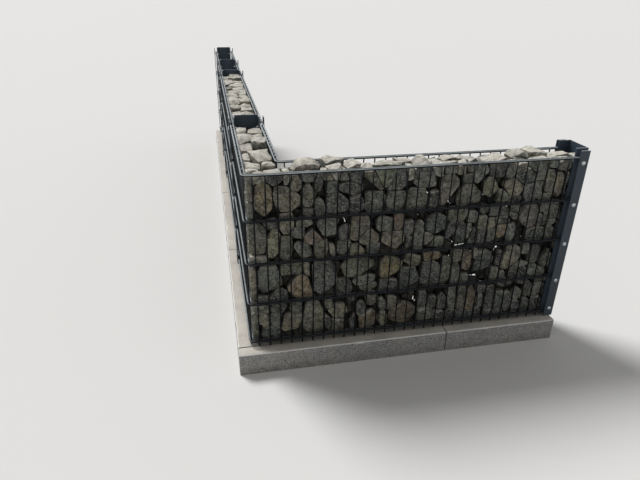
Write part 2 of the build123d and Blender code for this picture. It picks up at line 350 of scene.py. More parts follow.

# Stones against the front mat: centre along and up, half width, half height, lean in degrees, kind,
# then any large broken side as its direction in degrees up from the wing's line and its distance
# from the centre. Millimetres, read off the wall.
FRONT_STONES = (
    (62, 916, 25, 19, 0, "pale"), (125, 914, 32, 20, 0, "dark"), (203, 893, 38, 46, -20, "tan"),
    (268, 912, 30, 25, 0, "grey"), (307, 892, 22, 42, 14, "dark"), (350, 915, 42, 22, 0, "tan"),
    (416, 912, 24, 24, 0, "grey"), (468, 905, 30, 32, 0, "pepper"), (366, 868, 28, 27, 0, "grey"),
    (448, 857, 56, 27, 0, "dark"), (22, 862, 16, 42, 0, "tan"), (20, 775, 14, 44, 0, "grey"),
    (76, 828, 41, 70, 3, "brown", (-31, 54)), (174, 828, 54, 68, -7, "tan", (45, 44)),
    (266, 830, 31, 54, 0, "olive"), (312, 775, 25, 40, -14, "grey"), (268, 758, 25, 19, 0, "mauve"),
    (388, 788, 51, 46, 0, "pepper", (45, 42)), (475, 778, 36, 38, 0, "dark"),
    (548, 785, 46, 50, 0, "grey"), (46, 652, 41, 76, 0, "olive"), (105, 714, 34, 19, 0, "dark"),
    (172, 712, 33, 56, 0, "tan"), (246, 710, 37, 23, 0, "olive"), (222, 665, 30, 27, 0, "grey"),
    (288, 642, 48, 38, 0, "red", (128, 31), (38, 22)),
    (348, 685, 48, 50, 0, "grey", (-132, 42), (-49, 54)), (115, 622, 31, 72, 12, "tan"),
    (168, 598, 28, 55, 0, "olive"), (240, 578, 43, 43, 0, "grey", (-145, 22)),
    (323, 583, 35, 43, 0, "tan"), (372, 570, 12, 30, -14, "pale"),
    (424, 580, 37, 33, 0, "grey", (-45, 22)), (424, 648, 30, 33, 0, "dark"),
    (490, 670, 42, 62, 22, "tan"), (542, 618, 46, 40, 0, "olive", (47, 33), (138, 32)),
    (484, 562, 38, 27, 0, "tan", (42, 22)), (562, 563, 32, 28, 0, "grey"), (45, 552, 38, 19, 0, "pale"),
    (90, 446, 48, 75, 0, "grey", (-51, 62)), (22, 440, 16, 76, 0, "tan"), (62, 345, 25, 19, 0, "grey"),
    (130, 350, 44, 50, 8, "dark", (139, 32)), (190, 490, 47, 31, 0, "olive"),
    (256, 490, 14, 36, 0, "tan"), (228, 402, 58, 62, 0, "brown", (137, 43), (51, 54), (18, 47), (-135, 51)),
    (335, 438, 55, 86, 0, "pepper", (-25, 71), (-141, 75)),
    (490, 468, 82, 50, 0, "olive", (-63, 36), (-154, 66)),
    (520, 396, 52, 36, 0, "grey", (133, 34), (-146, 40)), (432, 375, 38, 38, 0, "dark"),
    (48, 295, 40, 25, 0, "olive"), (128, 290, 38, 20, 0, "dark"), (62, 240, 26, 36, 0, "tan"),
    (115, 238, 27, 35, 8, "grey"), (22, 215, 16, 72, 0, "olive"), (92, 163, 44, 37, 0, "teal"),
    (190, 212, 43, 51, 8, "tan"), (212, 290, 30, 32, 0, "grey"), (292, 232, 50, 92, -4, "tan", (24, 53)),
    (358, 295, 18, 25, 0, "olive"),
    (405, 247, 49, 37, 0, "tan", (133, 39), (-145, 33), (34, 44), (-33, 42)),
    (405, 170, 34, 38, 0, "olive"), (362, 190, 16, 45, -8, "dark"), (482, 178, 12, 43, 10, "dark"),
    (518, 250, 27, 37, 0, "grey"), (553, 180, 42, 57, 0, "brown"), (470, 310, 21, 17, 0, "dark"),
    (555, 888, 50, 56, 0, "tan", (-132, 25)), (652, 878, 57, 61, 0, "pepper", (-51, 43)),
    (772, 880, 54, 44, 0, "grey", (-135, 49)), (885, 915, 58, 22, 0, "mauve"),
    (976, 915, 34, 22, 0, "grey"), (892, 826, 46, 76, 6, "pale", (-38, 26), (45, 56), (112, 63)),
    (985, 792, 60, 54, 0, "olive", (137, 47), (47, 44)), (975, 868, 28, 24, 0, "dark"),
    (826, 778, 25, 42, 0, "dark"), (650, 785, 46, 50, 10, "grey"), (746, 788, 50, 50, 0, "olive"),
    (667, 680, 24, 39, 0, "red"), (608, 672, 37, 31, 0, "grey"),
    (655, 598, 63, 46, 0, "tan", (45, 52), (-49, 38), (-121, 38)), (718, 643, 24, 37, 0, "mauve"),
    (766, 605, 28, 69, 0, "grey"), (720, 585, 20, 26, 0, "dark"),
    (845, 652, 50, 51, 0, "teal", (-54, 43), (-122, 41)), (818, 592, 28, 38, 0, "tan", (55, 20), (-46, 14)),
    (862, 568, 38, 25, 0, "olive"), (922, 698, 26, 33, 0, "olive"), (968, 695, 24, 37, 0, "olive"),
    (1020, 678, 30, 32, 0, "grey"), (922, 628, 22, 53, 20, "dark"), (972, 595, 27, 59, 0, "dark"),
    (1008, 615, 16, 40, 0, "grey"), (645, 453, 51, 54, 0, "ochre", (-55, 37)),
    (752, 478, 38, 35, 0, "tan", (-129, 25)), (845, 497, 44, 25, 0, "ochre"), (738, 400, 47, 58, 0, "teal"),
    (645, 360, 47, 36, 0, "teal"), (845, 405, 50, 68, 0, "pepper"), (922, 413, 27, 74, 0, "olive"),
    (970, 490, 28, 35, 0, "olive"), (972, 392, 27, 55, 0, "grey"), (1022, 468, 26, 56, 0, "brown"),
    (1020, 354, 28, 28, 0, "grey"), (545, 368, 37, 24, 0, "olive"), (565, 297, 29, 35, 0, "tan"),
    (660, 265, 34, 37, 18, "tan"), (622, 262, 18, 35, -8, "grey"), (628, 172, 15, 47, -8, "tan"),
    (726, 204, 67, 63, 0, "brown", (121, 50), (48, 56)), (820, 268, 24, 45, 0, "pepper"),
    (838, 175, 37, 42, 0, "grey"), (870, 245, 28, 31, 0, "dark"), (922, 240, 28, 43, 0, "dark"),
    (916, 160, 32, 32, 0, "dark"), (965, 292, 24, 32, 18, "grey"), (974, 235, 28, 32, 0, "grey"),
    (978, 160, 33, 33, 0, "dark"), (1030, 891, 44, 50, 0, "grey", (-43, 24)),
    (1105, 900, 41, 35, 0, "dark"), (1085, 825, 39, 43, 0, "tan", (30, 28)),
    (1171, 890, 25, 41, 0, "grey"), (1250, 862, 50, 44, 0, "teal", (-128, 37), (-72, 38)),
    (1225, 910, 24, 14, 0, "pale"), (1196, 812, 51, 41, -4, "tan"), (1272, 785, 27, 45, 0, "pepper"),
    (1324, 880, 27, 48, 0, "grey"), (1375, 915, 28, 22, 0, "grey"), (1373, 832, 28, 55, 0, "tan"),
    (1421, 812, 25, 60, 0, "tan"), (1430, 903, 33, 28, 0, "mauve"), (1453, 820, 12, 60, 0, "dark"),
    (1360, 757, 38, 18, 0, "olive"), (1320, 785, 27, 50, 0, "grey"), (1150, 770, 27, 33, 8, "olive"),
    (1212, 754, 36, 17, 0, "dark"), (1072, 712, 28, 21, 0, "dark"), (1072, 648, 27, 38, 0, "tan"),
    (1119, 640, 23, 28, 0, "tan"), (1125, 700, 32, 27, 0, "grey"), (1172, 697, 27, 26, 0, "dark"),
    (1165, 652, 40, 20, -6, "dark"), (1222, 698, 28, 36, 0, "mauve"), (1172, 600, 29, 37, 0, "ochre"),
    (1076, 578, 29, 42, 0, "pepper"), (1032, 578, 23, 40, 0, "dark"), (1121, 582, 25, 37, 0, "grey"),
    (1223, 590, 28, 43, 0, "grey"), (1300, 655, 49, 67, 0, "mauve", (-136, 36)),
    (1358, 640, 15, 36, 8, "grey"), (1371, 705, 29, 27, 0, "grey"), (1390, 645, 21, 33, 0, "dark"),
    (1427, 682, 33, 45, 0, "grey"), (1424, 626, 28, 18, 0, "grey"), (1350, 570, 49, 37, 0, "teal"),
    (1422, 568, 28, 43, 0, "dark"), (1058, 494, 12, 30, -8, "pale"), (1105, 452, 43, 49, 0, "teal"),
    (1248, 446, 43, 64, 20, "tan"), (1188, 450, 16, 42, 0, "dark"), (1176, 368, 29, 41, 6, "olive"),
    (1214, 358, 17, 23, 0, "grey"), (1275, 366, 29, 37, 0, "dark"), (1302, 412, 42, 16, 0, "grey"),
    (1320, 366, 24, 35, 0, "dark"), (1317, 490, 21, 28, 0, "grey"), (1370, 455, 30, 47, 0, "dark"),
    (1376, 368, 28, 33, -8, "grey"), (1443, 430, 38, 51, 0, "olive", (151, 26), (29, 26)),
    (1422, 358, 27, 28, 0, "grey"), (1022, 250, 28, 69, 0, "olive"), (1076, 240, 33, 71, 0, "brown"),
    (1120, 225, 16, 42, 0, "grey"), (1073, 150, 31, 27, 0, "teal"), (1022, 152, 26, 28, 0, "dark"),
    (1122, 286, 26, 22, 0, "dark"), (1172, 268, 28, 31, 0, "dark"), (1172, 203, 28, 35, 0, "pepper"),
    (1225, 214, 26, 51, 0, "teal"), (1273, 200, 26, 61, 0, "pepper"), (1321, 241, 27, 31, 0, "grey"),
    (1321, 170, 28, 36, 0, "pepper"), (1373, 258, 29, 45, 0, "dark"), (1371, 174, 28, 43, 0, "teal"),
    (1430, 262, 34, 43, 0, "grey"), (1428, 172, 31, 43, 0, "dark"), (1230, 322, 40, 20, 0, "dark"),
    (1176, 148, 32, 24, 0, "dark"), (1330, 318, 40, 18, 0, "dark"), (1435, 318, 34, 18, 0, "dark"),
    (1115, 158, 23, 34, 0, "dark"), (1230, 142, 28, 28, 0, "teal"),
)

# Stones lying on top, where they can be made out: centre along and across the wall, half length,
# half depth, height of the top, kind, then broken sides as above. Millimetres.
CREST_STONES = {
    "front": (
        (44, 75, 38, 62, 932, "pale"), (121, 75, 42, 62, 930, "chalk"), (180, 45, 21, 30, 944, "pale"),
        (186, 112, 24, 30, 926, "grey"), (262, 75, 66, 60, 969, "chalk", (141, 46), (52, 46)),
        (368, 42, 58, 32, 955, "chalk", (99, 25)), (386, 108, 50, 34, 962, "grey"),
        (451, 60, 38, 46, 963, "pale", (118, 22)), (460, 122, 34, 22, 932, "tan"),
        (584, 45, 98, 34, 951, "olive"), (540, 110, 46, 32, 930, "grey"), (628, 110, 40, 32, 928, "pale"),
        (697, 106, 38, 36, 943, "tan"), (702, 42, 20, 30, 940, "pale"),
        (762, 62, 45, 48, 957, "grey", (132, 28), (32, 40)), (772, 122, 32, 22, 930, "pale"),
        (842, 45, 42, 32, 941, "chalk"), (836, 110, 36, 32, 930, "grey"), (901, 106, 42, 36, 946, "brown"),
        (948, 46, 72, 34, 953, "tan", (102, 17)), (990, 112, 44, 30, 936, "pale"),
        (1112, 64, 84, 52, 960, "chalk", (108, 24), (61, 39)), (1110, 126, 60, 20, 934, "grey"),
        (1236, 104, 50, 36, 949, "grey"), (1222, 44, 36, 32, 943, "pale"),
        (1311, 94, 62, 46, 961, "chalk"), (1305, 34, 44, 24, 943, "grey"), (1434, 66, 60, 52, 946, "chalk"),
        (1440, 126, 46, 20, 932, "pale"),
    ),
    "side_1": (
        (177, 48, 50, 34, 932, "chalk"), (150, 116, 34, 32, 938, "pale"), (290, 30, 48, 22, 932, "chalk"),
        (288, 94, 66, 46, 942, "pale"), (408, 38, 46, 30, 946, "pale"), (396, 112, 36, 30, 924, "grey"),
        (490, 110, 56, 34, 952, "grey"), (565, 52, 58, 40, 951, "chalk"), (640, 116, 42, 30, 930, "chalk"),
        (652, 44, 26, 34, 926, "grey"), (730, 40, 56, 30, 937, "pale"), (748, 104, 50, 38, 934, "brown"),
    ),
}

# Places on the outer mat's plane, along and up, where daylight shows through the stones from the
# camera's place. Millimetres.
DAYLIGHT = (
    (648, 722), (792, 815), (1048, 798), (994, 543), (1024, 520), (1113, 517), (1132, 510),
    (911, 486), (1253, 579), (1025, 373), (1116, 357), (748, 314), (411, 707), (1158, 720),
)
DAYLIGHT_RADIUS = 0.002
CAMERA_PLACE = (-0.1059, -2.0077, 1.6436)

# Height of the rubble's top in millimetres: at even steps along each side bay, within 6 mm of the
# CAD's, and all along the front bay, where it is the level that its random stones stay below.
SIDE_CRESTS = (
    (920, 940, 926, 952, 930, 914),
    (930, 950, 934, 954, 940, 932, 952, 940),
    (825, 840, 820),
    (820, 835, 815, 830),
)
FRONT_CREST = 925

# How random stones are laid: spacing of their centres on a face, in the core and on top, how far
# below the crest a face layer ends, how high the core goes, half its stones' depth, and how much
# larger than their places the stones of the core and on top are.
FACE_SPACING = 0.096
CORE_SPACING = 0.085
TOP_SPACING = 0.080
BELOW_CREST = 0.042
CORE_TOP = 0.88
CORE_HALF_DEPTH = 0.030
OVERLAP = 1.12

# A stone against a mat: its least half depth, how much that grows with its face, how far behind the
# mat its centre lies as a share of its half depth, and how much larger than listed it is made.
LEAST_HALF_DEPTH = 0.024
DEPTH_PER_FACE = 0.28
CENTRE_BEHIND = 0.95
LISTED_SWELL = 1.06

# Small stones that fill the post at the house: place, half sizes, and the height that they stay under.
POCKET_PLACE = (FRONT_BAY - 0.002, 0.048)
POCKET_HALF = (0.026, 0.030, 0.046)
POCKET_TOP = 0.936

# Form of a stone: how square it is, least and greatest half joint to a neighbour and width of a worn
# arris, the least that is kept of it, from what length an edge is halved, and how rough it is.
ROUND = 3.4
SUPPORT = ROUND / (ROUND - 1)
HALF_JOINT = (0.0012, 0.0034)
ARRIS = (0.0020, 0.0048)
LEAST_CORNERS = 6
LEAST_VOLUME = 6e-6
LONG_EDGE = 0.018
COARSE_SCALE, COARSE_DEPTH = 26.0, 0.0048
FINE_SCALE, FINE_DEPTH = 80.0, 0.0020

# Soil and painted shade in the heap: how far behind the open sides it starts, over what depth it
# grows to the full, and how far below the crest the open side on top is taken to be.
SOIL_AND_SHADE_STARTS = 0.007
SOIL_AND_SHADE_GROWS = 0.022
SOIL_AND_SHADE_BELOW_CREST = 0.012

# So that every run gives the same: the seed of the vector noise, which Blender would take from the
# clock, and a skew direction along which each stone's faces are put in order.
NOISE_SEED = 1795981844
SORT_AXIS = Vector((0.53, 0.61, 0.59))

# A bay of the fill: where it starts, the clamp line at its end, and heights of its top at even steps.
Bay = namedtuple("Bay", "name start line crest on_side")


def unit(vector):
    return vector / np.linalg.norm(vector)


def random_vector(rng, spread):
    return np.array([rng.gauss(0, spread) for _ in range(3)])


def random_kind(rng):
    names = ("tan", "grey", "olive", "dark", "teal", "brown", "ochre", "red", "pale", "pepper", "mauve")
    return rng.choices(names, (24, 26, 14, 11, 6, 5, 2, 2, 8, 7, 5))[0]


def scatter(length, height, spacing, rng):
    """Centres, sizes and leans of random stones over one face, spread until none crowd."""
    count = max(2, round(length * height / spacing**2))
    at = np.array([(rng.uniform(0, length), rng.uniform(0, height)) for _ in range(count)])
    size = np.array([spacing * rng.choice((0.72, 0.88, 1.0, 1.1, 1.3)) for _ in range(count)])
    room = (size[:, None] + size[None, :]) * 0.5
    shake = np.random.default_rng(rng.randrange(10**6))
    for _ in range(140):
        at += shake.normal(0, 1e-4, at.shape)
        apart = at[:, None] - at[None, :]
        distance = np.linalg.norm(apart, axis=2) + np.eye(count) + 1e-6
        push = np.clip(room - distance, 0, None) * 0.3 * (1 - np.eye(count))
        at += (apart / distance[..., None] * push[..., None]).sum(axis=1)
        at[:, 0] = np.clip(at[:, 0], size * 0.4, length - size * 0.4)
        at[:, 1] = np.clip(at[:, 1], size * 0.4, height - size * 0.4)
    stones = []
    for (along, up), across in zip(at, size):
        slim = rng.uniform(0.82, 1.28)
        stones.append((along, up, across * 0.56 / slim, across * 0.56 * slim, rng.gauss(0, 14)))
    return stones


class Stone:
    """A stone's centre, half sizes along its own axes, and the planes it stays behind.

    It leans in the plane of the mats and is turned about the vertical, both in degrees. Its facets
    are the directions of its open sides, each of which gets a broken face of its own.
    """

    def __init__(self, bay, u, v, z, half, lean, kind, swing=0.0):
        self.bay = bay
        self.u = u
        self.kind = kind
        self.centre = self.to_world(u, v, z)
        self.half = np.array(half)
        self.planes = []
        self.facets = []
        lean, swing = math.radians(lean), math.radians(swing)
        along = self.to_world(math.cos(lean), 0, -math.sin(lean))
        across = self.to_world(0, 1, 0)
        self.axes = np.array((
            along * math.cos(swing) + across * math.sin(swing),
            across * math.cos(swing) - along * math.sin(swing),
            self.to_world(math.sin(lean), 0, math.cos(lean)),
        ))

    def to_world(self, u, v, z):
        return np.array(world_point(u, v, z, self.bay.on_side))

    def reach(self, direction):
        """Distance from the centre to the surface that way."""
        local = np.abs(self.axes @ direction) / self.half
        return (local**ROUND).sum() ** (-1 / ROUND)

    def facing(self, direction):
        """Outward normal of the surface that way."""
        local = self.axes @ direction
        return unit(self.axes.T @ (np.sign(local) * np.abs(local) ** (ROUND - 1) / self.half**ROUND))

    def keep_behind(self, normal, distance):
        self.planes.append((np.array(normal, float), distance))

    def cut(self, normal, distance):
        """Cuts the stone off at a distance from its centre."""
        self.keep_behind(normal, float(normal @ self.centre) + distance)

    def break_off(self, breaks):
        """Large broken sides, each its direction up from the wing's line and its distance in mm."""
        for angle, distance in breaks:
            turn = math.radians(angle)
            self.cut(self.to_world(math.cos(turn), 0.0, math.sin(turn)), distance / 1000)

    def keep_within(self, axis, low, high):
        """Limits along a wing's own axis, either of them None."""
        normal = self.to_world(*[float(k == axis) for k in range(3)])
        if high is not None:
            self.keep_behind(normal, high)
        if low is not None:
            self.keep_behind(-normal, -low)

    def keep_in_bay(self):
        """Keeps the stone off the mats, the kerb and the posts."""
        line = self.bay.line
        self.keep_within(1, OUTER_FACE, INNER_FACE)
        self.keep_within(2, KERB_TOP + CLEARANCE, None)
        before_post = line - HALF_FLANGE - POST_CLEARANCE
        if self.u > before_post:
            self.keep_within(0, line - HALF_FLANGE - POCKET_LAP, line + HALF_FLANGE - BACK_TO_STONES)
            self.keep_within(1, OUTER_FACE + POST_CLEARANCE, INNER_FACE - POST_CLEARANCE)
        else:
            self.keep_within(0, self.bay.start, before_post)

    def lie_against(self, face, rng):
        """A slightly tilted open side against a mat."""
        outward = -1.0 if face == OUTER_FACE else 1.0
        normal = unit(self.to_world(rng.gauss(0, 0.11), outward, rng.gauss(0.02, 0.12)))
        recess = rng.uniform(0.0, 0.005)
        self.facets = [self.to_world(0, outward, 0)] * 2
        on_face = self.to_world(self.u, face - outward * recess, self.centre[2])
        self.keep_behind(normal, float(normal @ on_face))

    def lie_on_top(self, top):
        """An open side on top of the heap."""
        self.keep_within(2, None, top + 0.003)
        self.facets = [np.array((0.0, 0.0, 1.0))] * 3


def fill_end(bay):
    return bay.line + HALF_FLANGE - POST_WALL


def face_stone(bay, face, u, z, half_width, half_height, lean, kind, rng, swell=1.0, breaks=()):
    """A stone in the layer behind a mat, its depth going with the size of its face."""
    depth = LEAST_HALF_DEPTH + DEPTH_PER_FACE * min(half_width, half_height)
    v = face + depth * CENTRE_BEHIND if face == OUTER_FACE else face - depth * CENTRE_BEHIND
    stone = Stone(bay, u, v, z, (half_width * swell, depth, half_height * swell), lean, kind)
    stone.break_off(breaks)
    stone.keep_in_bay()
    stone.lie_against(face, rng)
    return stone


def face_layer(bay, face, rng):
    """Random stones along one face of a bay up to a little below its crest."""
    height = min(bay.crest) - BELOW_CREST - KERB_TOP
    for along, up, *size, lean in scatter(fill_end(bay) - bay.start, height, FACE_SPACING, rng):
        yield face_stone(bay, face, bay.start + along, KERB_TOP + up, *size, lean, random_kind(rng), rng)


def core_layer(bay, rng):
    """Stones between the two faces of a bay, behind the gaps of both."""
    placed = scatter(fill_end(bay) - bay.start, CORE_TOP - KERB_TOP, CORE_SPACING, rng)
    for along, up, half_width, half_height, lean in placed:
        half = (half_width * OVERLAP, CORE_HALF_DEPTH, half_height * OVERLAP)
        stone = Stone(
            bay, bay.start + along, MAT_SPACING / 2, KERB_TOP + up, half, lean, random_kind(rng)
        )
        stone.keep_in_bay()
        yield stone


def listed_crest(bay, rng):
    """The stones on top that can be made out, about a twentieth larger than listed but no higher."""
    for along, across, half_length, half_depth, top, kind, *breaks in CREST_STONES[bay.name]:
        top = top / 1000
        height = rng.uniform(0.030, 0.038) + max(0.0, half_length / 1000 - 0.055) * 0.3
        half = (half_length / 950, half_depth / 950, height)
        lean, swing = rng.gauss(0, 6), rng.gauss(0, 10)
        stone = Stone(bay, along / 1000, across / 1000, top - height, half, lean, kind, swing)
        stone.break_off(breaks)
        stone.keep_in_bay()
        stone.lie_on_top(top)
        yield stone


def crest_at(bay, u):
    """Height of a bay's crest at a place along it."""
    place = min(max((u - bay.start) / (fill_end(bay) - bay.start), 0.0), 1.0) * (len(bay.crest) - 1)
    index = min(int(place), len(bay.crest) - 2)
    return bay.crest[index] + (bay.crest[index + 1] - bay.crest[index]) * (place - index)


def random_crest(bay, rng):
    """Loose stones over the top of a bay, their own tops along its crest."""
    placed = scatter(fill_end(bay) - bay.start, INNER_FACE - OUTER_FACE, TOP_SPACING, rng)
    for along, across, half_width, depth, swing in placed:
        u = bay.start + along
        top = crest_at(bay, u) + rng.uniform(-0.024, 0.006)
        height = rng.uniform(0.030, 0.042)
        kind = rng.choice(("chalk", "chalk", "pale", "pale", "pale", "tan", "grey"))
        half = (half_width * OVERLAP, depth * OVERLAP, height)
        v, lean = OUTER_FACE + across, rng.gauss(0, 9)
        stone = Stone(bay, u, v, top - height, half, lean, kind, swing * 1.6)
        stone.keep_in_bay()
        stone.lie_on_top(top)
        yield stone


def lay_out_front(rng):
    """The front wing: its face and top from the lists, its back, its core and the post at random."""
    bay = Bay("front", OUTER_FACE, FRONT_BAY, [FRONT_CREST / 1000], False)
    for x, z, half_width, half_height, lean, kind, *breaks in FRONT_STONES:
        place = (value / 1000 for value in (x, z, half_width, half_height))
        yield face_stone(bay, OUTER_FACE, *place, lean, kind, rng, LISTED_SWELL, breaks)
    yield from listed_crest(bay, rng)
    yield from face_layer(bay._replace(name="front_inner"), INNER_FACE, rng)
    for height in np.arange(0.15, 0.93, 0.085):
        stone = Stone(bay, *POCKET_PLACE, height, POCKET_HALF, 0, random_kind(rng))
        stone.keep_in_bay()
        stone.keep_within(2, None, POCKET_TOP)
        yield stone
    yield from core_layer(bay._replace(name="front_core"), rng)


def lay_out_side(rng):
    """The side wing: the first bay's top from the list, and all else at random."""
    start = INNER_FACE - CORNER_LAP
    for number, (line, crest) in enumerate(zip(SIDE_LINES, SIDE_CRESTS), start=1):
        bay = Bay(f"side_{number}", start, line, [height / 1000 for height in crest], True)
        for face in (OUTER_FACE, INNER_FACE):
            yield from face_layer(bay, face, rng)
        lay_top = listed_crest if bay.name in CREST_STONES else random_crest
        yield from lay_top(bay, rng)
        start = line + HALF_FLANGE + CLEARANCE


def part_neighbours(stones, rng):
    """Gives each two stones that would touch one plane between them, with a small gap."""
    farthest, touching = 0.26, 0.012
    centres = np.array([stone.centre for stone in stones])
    for index, stone in enumerate(stones):
        away = centres[index + 1:] - stone.centre
        for offset in np.nonzero(np.linalg.norm(away, axis=1) < farthest)[0]:
            other = stones[index + 1 + offset]
            distance = np.linalg.norm(away[offset])
            direction = away[offset] / distance
            near, far = stone.reach(direction), other.reach(-direction)
            if distance > near + far + touching:
                continue
            normal = unit(stone.facing(direction) - other.facing(-direction))
            middle = stone.centre + direction * distance * near / (near + far)
            level = float(normal @ middle)
            gap = rng.uniform(*HALF_JOINT)
            stone.keep_behind(normal, level - gap)
            other.keep_behind(-normal, -level - gap)


def depth_inside(stone, points):
    """How deep the deepest of some points lies inside a stone; less than zero if all are outside."""
    offset = points - stone.centre
    share = ((np.abs(offset @ stone.axes.T) / stone.half) ** ROUND).sum(axis=1) ** (1 / ROUND) + 1e-6
    depth = np.linalg.norm(offset, axis=1) * (1 / share - 1)
    for normal, level in stone.planes:
        depth = np.minimum(depth, level - points @ normal)
    return depth.max()


def let_daylight_through(stones):
    """Opens the joint nearest to each line of sight that passes between the front wing's stones."""
    eye = np.array(CAMERA_PLACE)
    steps = np.linspace(OUTER_FACE, INNER_FACE, 12)[:, None] / -eye[1]
    moves = np.arange(-0.015, 0.016, 0.003)
    farthest, price_of_moving = 0.24, 0.15
    for x, z in DAYLIGHT:
        place = np.array((x / 1000, 0.0, z / 1000))
        near = [stone for stone in stones
                if not stone.bay.on_side and np.linalg.norm(stone.centre - place) < farthest]
        tries = []
        for along in moves:
            for up in moves:
                ray = place + (along, 0.0, up) - eye
                points = eye + ray * (1 + steps)
                depth = sum(max(0.0, depth_inside(stone, points)) for stone in near)
                tries.append((depth + price_of_moving * math.hypot(along, up), tuple(ray)))
        ray = np.array(min(tries)[1])
        line = unit(ray)
        for stone in near:
            if depth_inside(stone, eye + ray * (1 + steps)) > -DAYLIGHT_RADIUS:
                offset = stone.centre - eye
                aside = line * (line @ offset) - offset
                distance = np.linalg.norm(aside)
                normal = aside / distance
                stone.keep_behind(normal, float(normal @ stone.centre) + distance - DAYLIGHT_RADIUS)


def chip(stone, rng):
    """The stone's own broken faces: askew sides, broken corners, facets of its open side and more.

    Each is a direction, how much askew it may be, and its least and greatest share of the stone.
    """
    ways = [(side * axis, 0.15, 0.90, 1.0) for axis in np.eye(3) for side in (-1.0, 1.0)]
    for along in (-1.0, 1.0):
        for up in (-1.0, 1.0):
            way = np.array((along / stone.half[0], 0.0, up * rng.uniform(0.6, 1.7) / stone.half[2]))
            ways.append((unit(way), 0.16, 0.76, 1.12))
    for _ in range(6):
        ways.append((unit(random_vector(rng, 1)), 0.0, 0.86, 1.02))
    for open_side in stone.facets:
        ways.append((unit(stone.axes @ open_side + random_vector(rng, 0.34)), 0.0, 0.84, 0.96))
    for way, askew, low, high in ways:
        local = unit(way + random_vector(rng, askew))
        support = ((stone.half * np.abs(local)) ** SUPPORT).sum() ** (1 / SUPPORT)
        stone.cut(stone.axes.T @ local, support * rng.uniform(low, high))


def corners(planes):
    """Corners of the solid behind all the planes."""
    normals = np.array([normal for normal, _ in planes])
    levels = np.array([level for _, level in planes])
    trio = np.array(list(combinations(range(len(planes)), 3)))
    first, second, third = (normals[trio[:, k]] for k in range(3))
    cross = np.cross(second, third)
    volume = (first * cross).sum(axis=1)
    usable = np.abs(volume) > 1e-3
    trio, first, second, third, cross = (a[usable] for a in (trio, first, second, third, cross))
    points = (
        levels[trio[:, 0], None] * cross
        + levels[trio[:, 1], None] * np.cross(third, first)
        + levels[trio[:, 2], None] * np.cross(first, second)
    ) / volume[usable][:, None]
    return points[(points @ normals.T <= levels + 1e-7).all(axis=1)]


def carve(stone, rng):
    """Mesh of one stone: the hull of its corners with worn arrises, or None if too little is left."""
    points = corners(stone.planes)
    if len(points) < LEAST_CORNERS:
        return None
    mesh = bmesh.new()
    for point in points:
        mesh.verts.new(point)
    bmesh.ops.remove_doubles(mesh, verts=mesh.verts[:], dist=0.004)
    hull = bmesh.ops.convex_hull(mesh, input=mesh.verts[:])
    spare = dict.fromkeys((*hull["geom_interior"], *hull["geom_unused"]))
    loose = [item for item in spare if isinstance(item, bmesh.types.BMVert)]
    bmesh.ops.delete(mesh, geom=loose, context="VERTS")
    bmesh.ops.dissolve_limit(mesh, angle_limit=0.06, verts=mesh.verts[:], edges=mesh.edges[:])
    if len(mesh.verts) < LEAST_CORNERS or mesh.calc_volume() < LEAST_VOLUME:
        mesh.free()
        return None
    bmesh.ops.bevel(
        mesh, geom=mesh.edges[:], offset=rng.uniform(*ARRIS), offset_type="OFFSET", segments=2,
        profile=0.55, affect="EDGES", clamp_overlap=True,
    )
    bmesh.ops.remove_doubles(mesh, verts=mesh.verts[:], dist=0.0009)
    long_edges = [edge for edge in mesh.edges if edge.calc_length() > LONG_EDGE]
    bmesh.ops.subdivide_edges(mesh, edges=long_edges, cuts=1, use_grid_fill=True)
    bmesh.ops.triangulate(mesh, faces=mesh.faces[:], quad_method="BEAUTY", ngon_method="BEAUTY")
    mesh.faces.sort(key=lambda face: face.calc_center_median().dot(SORT_AXIS))
    return mesh


def roughen(mesh, stone, shift):
    """Moves a stone's corners by noise, inside the planes of the mats and the kerb."""
    limits = [(normal, level) for normal, level in stone.planes if np.abs(normal).max() > 0.9999]
    seed = Vector(shift)
    for vertex in mesh.verts:
        at = vertex.co + seed
        coarse = noise.noise_vector(at * COARSE_SCALE) * COARSE_DEPTH
        vertex.co += coarse + noise.noise_vector(at * FINE_SCALE) * FINE_DEPTH
        for normal, level in limits:
            over = float(vertex.co.x * normal[0] + vertex.co.y * normal[1] + vertex.co.z * normal[2])
            if over > level:
                vertex.co -= Vector(normal) * (over - level)


def soil_and_shade_share(point, bay):
    """How much soil and painted shade darken a stone there: none at the mats and on top, more the deeper in
    the heap.
    """
    v = point[0] if bay.on_side else point[1]
    open_faces = [v - OUTER_FACE, INNER_FACE - v, min(bay.crest) - SOIL_AND_SHADE_BELOW_CREST - point[2]]
    if not bay.on_side:
        open_faces.append(point[0] - OUTER_FACE)
    return min(max((min(open_faces) - SOIL_AND_SHADE_STARTS) / SOIL_AND_SHADE_GROWS, 0.0), 1.0)


